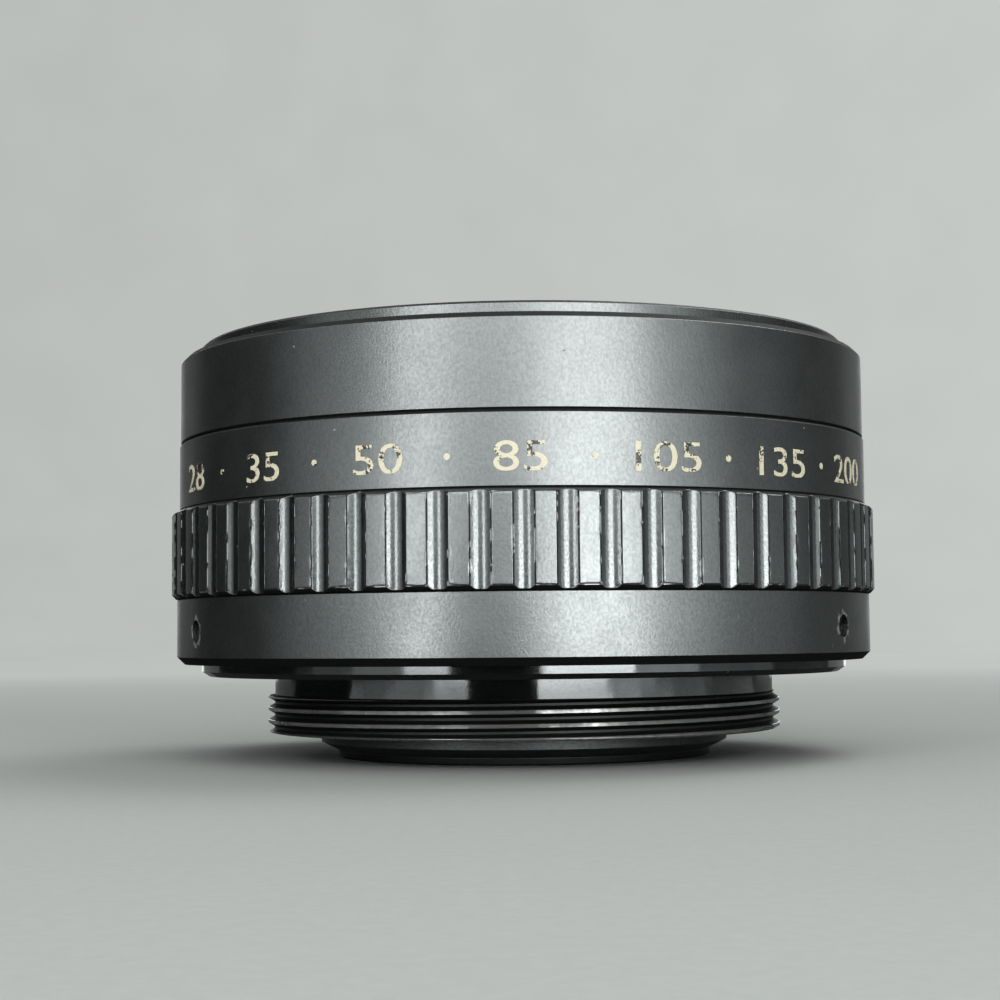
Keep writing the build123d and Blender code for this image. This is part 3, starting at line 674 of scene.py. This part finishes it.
def seat_wear(recipe):
    """Rubbed crests of the female thread, and short arcs that lenses have left on the seat."""
    radius = recipe.radius()
    axes = recipe.axes()
    turn = recipe.math("ARCTAN2", axes["Y"], axes["X"])
    spot = recipe.node("CombineXYZ", recipe.times(radius, 6.0), recipe.times(turn, 5.0), 0.0)
    rub = recipe.noise(0.5, 3.0)
    arcs = recipe.noise(1.0, 3.0, place=spot.outputs[0])
    arcs = recipe.remap(recipe.plus(arcs, recipe.times(rub, 0.4)), 0.78, 0.9, 0.0, 0.3)
    arcs = recipe.times(arcs, recipe.below(radius, SEAT_WORN_RADIUS))
    face = recipe.times(recipe.above(axes["Z"], SEAT_HIGH - 0.02), arcs)
    crest = recipe.times(recipe.below(radius, FRONT_CREST), recipe.remap(rub, 0.45, 0.6, 0.0, 0.3))
    return recipe.larger(face, crest)


def thread_wear(recipe):
    """Rubbed metal on the crests of the male thread, most on its end."""
    radius = recipe.radius()
    height = recipe.axes()["Z"]
    crest = recipe.remap(radius, THREAD_RADIUS - 0.06, THREAD_RADIUS - 0.01)
    crest = recipe.times(crest, recipe.below(height, THREAD_HIGH))
    end = recipe.remap(height, THREAD_LOW + 0.12, THREAD_LOW + 0.22, 1.0, 0.0)
    end = recipe.times(end, recipe.above(radius, THREAD_RADIUS - 0.2))
    rub = recipe.spread(recipe.noise(2.4, 3.0), 0.25, 0.7)
    return recipe.times(recipe.larger(crest, end), rub)


def thread_painted_shade(recipe):
    """Painted shade in the grooves of the male thread, which are darker and duller than its crests
    and the turned faces above.
    """
    groove = recipe.remap(recipe.radius(), THREAD_RADIUS - 0.08, THREAD_RADIUS - 0.03, 0.65, 0.0)
    return recipe.times(groove, recipe.below(recipe.axes()["Z"], THREAD_HIGH))


def nose_painted_shade(recipe):
    """Painted shade on the end of the guard ring."""
    return recipe.remap(recipe.axes()["Z"], NOSE_HEIGHT, NOSE_HEIGHT + 0.1, 0.85, 0.0)


class CONVERTER_OT_mount(bpy.types.Operator):
    """Finish the glossy turned rear mount, the tube and the matt pieces inside"""

    bl_idname = "converter.mount"
    bl_label = "Mount and inside"

    def execute(self, context):
        clad("rear_mount", anodised(
            "mount_black", settings().gloss, wear=thread_wear, painted_shade=thread_painted_shade,
            grain=0.0008, dust=0.5, level=0.48, fleck=0.04))
        guard = anodised("guard_black", 0.45, painted_shade=nose_painted_shade, grain=0.02, level=0.5)
        clad("guard_ring", guard)
        matt = anodised("matt_black", 0.55, grain=0.02, level=0.3)
        tube = anodised("tube_black", 0.36)
        for nodes, finish in ((MATT_NODES, matt), (TUBE_NODES, tube)):
            for node in nodes:
                clad(node, finish)
        return {"FINISHED"}


class CONVERTER_OT_grip(bpy.types.Operator):
    """Build the fluted grip with rounded and chipped edges, in place of the plain ring"""

    bl_idname = "converter.grip"
    bl_label = "Grip"

    def execute(self, context):
        grip = context.scene.converter_grip
        self.radius = GRIP_RADIUS
        half, depth = grip.flute_width / 2, grip.flute_depth
        self.ball = (half ** 2 + depth ** 2) / (2 * depth)
        self.centre = self.radius - depth + self.ball
        self.chip = grip.chip
        heights = self.heights(grip.bevel)
        columns = self.columns()
        points, wear, shade = [], [], []
        for height in heights:
            for spot, bare, dark in self.level(grip, height, columns):
                points.append(spot)
                wear.append(bare)
                shade.append(dark)
        around = grip.flutes * len(columns)
        faces = []
        for row in range(len(heights) - 1):
            for column in range(around):
                low, far = row * around + column, row * around + (column + 1) % around
                faces.append((low, far, around + far, around + low))
        self.close(points, faces, around, len(heights))
        piece = mesh_piece("grip", points, faces, self.material())
        for name, values in (("wear", wear), ("painted_shade", shade)):
            values += [0.0] * (len(points) - len(values))
            piece.data.attributes.new(name, "FLOAT", "POINT").data.foreach_set("value", values)
        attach(piece, BODY)
        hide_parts("grip_ring")
        return {"FINISHED"}

    def level(self, grip, height, columns):
        """Points of one level round the ring, each with how bare it is and how much shade is
        painted on it.
        """
        low_end = height < GRIP_MIDDLE
        fall = self.fall(height, grip.bevel)
        drop = grip.flute_depth if low_end else self.radius - BAND_RADIUS
        land = self.radius - fall * drop
        crease = self.crease(land)
        period = tau / grip.flutes
        to_rim = min(abs(height - GRIP_LOW - grip.bevel), abs(GRIP_HIGH - grip.bevel - height))
        end_shade = (LOW_END_SHADE if low_end else HIGH_END_SHADE) * min(1.0, fall * 4)
        for flute in range(grip.flutes):
            middle = grip.flute_angle + flute * period
            for kind, share in columns:
                angle, depth, near = self.place(kind, share, crease, period)
                turn = middle + angle
                spot = Vector((self.radius * sin(turn), -self.radius * cos(turn), height))
                side, rim = self.chips(spot)
                worn = self.radius - self.rounding(near, side) - self.rounding(to_rim, rim)
                top = min(land, worn)
                radius = top if depth is None else min(top, depth)
                bare_rim = self.bareness(to_rim, rim, BARE_RIM_WIDTH) * (1.0 if low_end else 0.5)
                bare = max(self.bareness(near, side, BARE_WIDTH), bare_rim)
                on_land = depth is None or depth > top - 0.05 * MM
                shade = end_shade if depth is None else FLUTE_SHADE
                spot = (radius * sin(turn), -radius * cos(turn), height)
                yield spot, bare if on_land else 0.0, shade

    def heights(self, bevel):
        """Levels from the lower end to the upper one, close together at the edges."""
        low = [GRIP_LOW + value * bevel / END_LEVEL_OF_BEVEL for value in END_LEVELS]
        high = [GRIP_HIGH - (value - GRIP_LOW) for value in reversed(low)]
        steps = ceil((high[0] - low[-1]) / LEVEL_STEP)
        middle = [low[-1] + (high[0] - low[-1]) * step / steps for step in range(1, steps)]
        return low + middle + high

    def columns(self):
        """Places across one flute and the land after it."""
        flute = [("flute", -1 + step / 5) for step in range(11)]
        after = [("after", offset) for offset in LAND_OFFSETS]
        before = [("before", offset) for offset in reversed(LAND_OFFSETS)]
        return flute + after + [("land", 0.3), ("land", 0.5), ("land", 0.7)] + before

    def fall(self, height, bevel):
        """How far down the end bevel this level is, from 0 on the land to 1 at the ring's end."""
        return 1 - min(1.0, max(0.0, min(height - GRIP_LOW, GRIP_HIGH - height) / bevel))

    def crease(self, land):
        """Half of the angle that a flute takes up at this radius."""
        reach = (land ** 2 + self.centre ** 2 - self.ball ** 2) / (2 * land * self.centre)
        if reach >= 1:
            return LEAST_CREASE
        return max(LEAST_CREASE, atan2(sqrt(max(0.0, 1 - reach ** 2)), reach))

    def place(self, kind, share, crease, period):
        """Angle from the flute's middle, radius of its wall, and distance to its edge."""
        if kind == "flute":
            edge = self.swing(crease)
            turn = share * edge
            across = self.ball * sin(turn)
            down = self.centre - self.ball * cos(turn)
            angle = atan2(across, down)
            return angle, sqrt(across ** 2 + down ** 2), self.radius * (crease - abs(angle))
        width = self.radius * (period - 2 * crease)
        if kind == "after":
            return crease + share / self.radius, None, share
        if kind == "before":
            return period - crease - share / self.radius, None, share
        return crease + share * width / self.radius, None, width * min(share, 1 - share)

    def swing(self, crease):
        """Turn about the flute's own centre at which its wall has this angle about the axis."""
        across = self.centre * sin(crease) / self.ball
        return crease + asin(min(1.0, across)) if across <= 1 else crease + pi / 2

    def chips(self, spot):
        """Two amounts from 0 to 1: chips along the flutes and along the lower and upper edges."""
        grain = spot * (1 / MM)
        coarse = lattice.noise(grain * 1.1) * 0.5 + 0.5
        fine = lattice.noise(grain * 4.3 + Vector((7.0, 3.0, 1.0))) * 0.5 + 0.5
        side = min(1.0, max(0.0, (0.6 * coarse + 0.4 * fine - 0.5) * 5))
        rim = min(1.0, max(0.0, (0.4 * coarse + 0.6 * fine - 0.46) * 5))
        return side, rim

    def rounding(self, distance, chip):
        """How far an edge is worn down at a distance from it."""
        width = ROUND_WIDTH + 2 * self.chip * chip
        return 0.5 * width * max(0.0, 1 - abs(distance) / width) ** 2

    def bareness(self, distance, chip, width):
        """How bare the metal is at a distance from an edge."""
        return chip * max(0.0, 1 - abs(distance) / width)

    def close(self, points, faces, around, levels):
        """Flat ends and the bore, so that the ring is a closed solid."""
        start = len(points)
        for height in (GRIP_LOW, GRIP_HIGH):
            for column in range(around):
                inner = Vector(points[column][:2]).normalized() * GRIP_BORE
                points.append((inner.x, inner.y, height))
        last = (levels - 1) * around
        for column in range(around):
            far = (column + 1) % around
            low, high = start + column, start + around + column
            low_far, high_far = start + far, start + around + far
            faces.append((low, low_far, far, column))
            faces.append((last + column, last + far, high_far, high))
            faces.append((high, high_far, low_far, low))

    def material(self):
        """The anodised finish, bare on chips, with painted shade at the ends and in the flutes, and
        smoother at their floor.
        """
        def chips(recipe):
            worn = recipe.node("Attribute", attribute_name="wear").outputs["Fac"]
            return recipe.remap(recipe.times(worn, recipe.noise(5.0, 3.0)), 0.16, 0.34, 0.0, 0.6)

        def ends(recipe):
            return recipe.node("Attribute", attribute_name="painted_shade").outputs["Fac"]

        def polish(recipe):
            outer = GRIP_RADIUS / MM
            return recipe.remap(recipe.radius(), outer - 0.12, outer - 0.02, -0.12, 0.0)
        return anodised(
            "grip_black", settings().satin, wear=chips, painted_shade=ends, dust=0.6, dull=polish)


class CONVERTER_OT_numerals(bpy.types.Operator):
    """Build the plain numerals and the dots between them, wrapped round the band"""

    bl_idname = "converter.numerals"
    bl_label = "Numerals"

    def execute(self, context):
        plan = context.scene.converter_numerals
        words = plan.words.split()
        gap = plan.spread / max(1, len(words) - 1)
        built = bmesh.new()
        for index, word in enumerate(words):
            angle = -plan.spread / 2 + index * gap
            self.wrap(built, self.numeral(word, plan), angle, plan)
            if index < len(words) - 1:
                self.wrap(built, self.dot(plan), angle + gap / 2, plan)
        mesh = bpy.data.meshes.new("numerals")
        built.to_mesh(mesh)
        built.free()
        piece = clad(placed("numerals", mesh), self.material())
        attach(piece, BODY)
        return {"FINISHED"}

    def numeral(self, word, plan):
        """A flat word of the plan's height, centred, as its own bmesh."""
        curve = bpy.data.curves.new("word", "FONT")
        curve.body = word
        curve.align_x = "CENTER"
        curve.size = 1.0
        curve.resolution_u = 4
        curve.extrude = 0.5
        holder = bpy.data.objects.new("word", curve)
        mesh = bpy.data.meshes.new_from_object(holder)
        bpy.data.objects.remove(holder)
        bpy.data.curves.remove(curve)
        flat = bmesh.new()
        flat.from_mesh(mesh)
        bpy.data.meshes.remove(mesh)
        scale = plan.height / max(vert.co.y for vert in flat.verts)
        for vert in flat.verts:
            vert.co = (vert.co.x * scale * plan.stretch, max(vert.co.y, 0.0) * scale, vert.co.z)
        return flat

    def dot(self, plan):
        """A flat dot at half of the numerals' height, as its own bmesh."""
        flat = bmesh.new()
        size = plan.height * 0.11
        bmesh.ops.create_cone(
            flat, cap_ends=True, segments=20, radius1=size, radius2=size, depth=1.0)
        for vert in flat.verts:
            vert.co.y += plan.height / 2
        return flat

    def wrap(self, built, flat, angle, plan):
        """Cut the word into narrow strips, bend it round the band and add it to the rest."""
        bmesh.ops.remove_doubles(flat, verts=flat.verts, dist=1e-7)
        left = min(vert.co.x for vert in flat.verts)
        right = max(vert.co.x for vert in flat.verts)
        strip = 0.25 * MM
        for step in range(1, ceil((right - left) / strip)):
            bmesh.ops.bisect_plane(
                flat, geom=flat.verts[:] + flat.edges[:] + flat.faces[:],
                plane_co=(left + step * strip, 0, 0), plane_no=(1, 0, 0))
        for vert in flat.verts:
            turn = angle + vert.co.x / BAND_RADIUS
            radius = BAND_RADIUS + (plan.thickness if vert.co.z > 0 else -plan.thickness)
            vert.co = (radius * sin(turn), -radius * cos(turn), plan.base + vert.co.y)
        mesh = bpy.data.meshes.new("strip")
        flat.to_mesh(mesh)
        flat.free()
        built.from_mesh(mesh)
        bpy.data.meshes.remove(mesh)

    def material(self):
        """Cream paint, rubbed away in patches so that the black shows."""
        finish = settings()
        recipe = Recipe("cream_paint")
        rub = recipe.noise(0.9, 4.0)
        fine = recipe.noise(6.0, 3.0)
        mixed = recipe.plus(recipe.times(rub, 0.65), recipe.times(fine, 0.35))
        gone = recipe.remap(mixed, 0.545, 0.575)
        tone = recipe.blend(fine, rgba(finish.paint, 0.8), rgba(finish.paint, 1.1))
        colour = recipe.blend(gone, tone, rgba(finish.black))
        rough = recipe.remap(gone, 0.0, 1.0, 0.5, finish.satin)
        return recipe.surface(base_color=colour, roughness=rough, normal=recipe.bump(fine, 0.01))


def steel(name, colour, roughness):
    """Turned or drawn steel: fine lines across, a faint stain and a little dust."""
    recipe = Recipe(name)
    stain = recipe.noise(0.6, 3.0)
    lines = recipe.noise(7.0, 3.0, stretch=(0.15, 0.15, 1.0))
    tone = recipe.blend(stain, rgba(colour, 0.8), rgba(colour, 1.1))
    rough = recipe.plus(
        recipe.spread(stain, roughness - 0.04, roughness + 0.06), recipe.spread(lines, -0.03, 0.03))
    tone = recipe.blend(recipe.specks(1.5, 0.08, 0.025), tone, rgba(colour, 0.4))
    return recipe.surface(
        base_color=tone, metallic=1.0, roughness=rough, normal=recipe.bump(lines, 0.003))


def blackened(name):
    """Blackened screw steel, bright where a driver has bitten."""
    recipe = Recipe(name)
    fine = recipe.noise(6.0, 3.0)
    bitten = recipe.remap(recipe.noise(2.2, 3.0), 0.46, 0.6)
    colour = recipe.blend(bitten, SCREW_BLACK, SCREW_BITTEN)
    rough = recipe.spread(fine, 0.26, 0.4)
    return recipe.surface(
        base_color=colour, metallic=1.0, roughness=rough, normal=recipe.bump(fine, 0.006))


class CONVERTER_OT_linkage(bpy.types.Operator):
    """Finish the screws and the aperture linkage: rods, plate, clips, bushes and springs"""

    bl_idname = "converter.linkage"
    bl_label = "Screws and linkage"

    def execute(self, context):
        screw = blackened("screw_black")
        bright = steel("rod_steel", ROD_STEEL, 0.24)
        for nodes, finish in ((SCREW_NODES, screw), (STEEL_NODES, bright)):
            for node in nodes:
                clad(node, finish)
        clad("return_springs", steel("spring_steel", SPRING_STEEL, 0.2))
        clad("rod_bushes", steel("bush_brass", BUSH_BRASS, 0.26))
        return {"FINISHED"}


class CONVERTER_OT_glass(bpy.types.Operator):
    """Finish the four elements as coated glass"""

    bl_idname = "converter.glass"
    bl_label = "Glass"

    def execute(self, context):
        recipe = Recipe("coated_glass")
        dust = recipe.specks(0.9, 0.05, 0.12)
        haze = recipe.remap(recipe.noise(0.25, 3.0), 0.45, 0.75, 0.0, 0.03)
        glass = recipe.surface(
            base_color=recipe.blend(recipe.noise(0.1), *GLASS_TINTS),
            roughness=recipe.larger(haze, recipe.times(dust, 0.5)),
            transmission_weight=1.0, ior=1.62, coat_weight=0.4, coat_roughness=0.02, coat_ior=1.7,
            coat_tint=COAT_TINT, thin_film_thickness=120.0, thin_film_ior=1.38)
        for node in GLASS_NODES:
            clad(node, glass)
        return {"FINISHED"}


OPERATORS = (
    CONVERTER_OT_stage, CONVERTER_OT_shells, CONVERTER_OT_grip, CONVERTER_OT_numerals,
    CONVERTER_OT_mount, CONVERTER_OT_linkage, CONVERTER_OT_glass,
)


class CONVERTER_PT_panel(bpy.types.Panel):
    """Lists the steps and their sizes"""

    bl_idname = "CONVERTER_PT_panel"
    bl_label = "Tele Converter"
    bl_space_type = "VIEW_3D"
    bl_region_type = "UI"
    bl_category = "Converter"

    def draw(self, context):
        for made in OPERATORS:
            self.layout.operator(made.bl_idname)
        for name, group in GROUPS.items():
            box = self.layout.box()
            box.label(text=group.__doc__)
            for key in group.__annotations__:
                box.prop(getattr(context.scene, name), key)


GROUPS = {
    "converter_studio": StudioSettings,
    "converter_finish": FinishSettings,
    "converter_grip": GripSettings,
    "converter_numerals": NumeralSettings,
}
CLASSES = (*GROUPS.values(), *OPERATORS, CONVERTER_PT_panel)


def register():
    for made in CLASSES:
        bpy.utils.register_class(made)
    for name, group in GROUPS.items():
        setattr(bpy.types.Scene, name, PointerProperty(type=group))


def unregister():
    for name in GROUPS:
        delattr(bpy.types.Scene, name)
    for made in reversed(CLASSES):
        bpy.utils.unregister_class(made)


def main():
    register()
    bpy.ops.converter.stage()
    bpy.ops.converter.shells()
    bpy.ops.converter.grip()
    bpy.ops.converter.numerals()
    bpy.ops.converter.mount()
    bpy.ops.converter.linkage()
    bpy.ops.converter.glass()


if __name__ == "__main__":
    main()
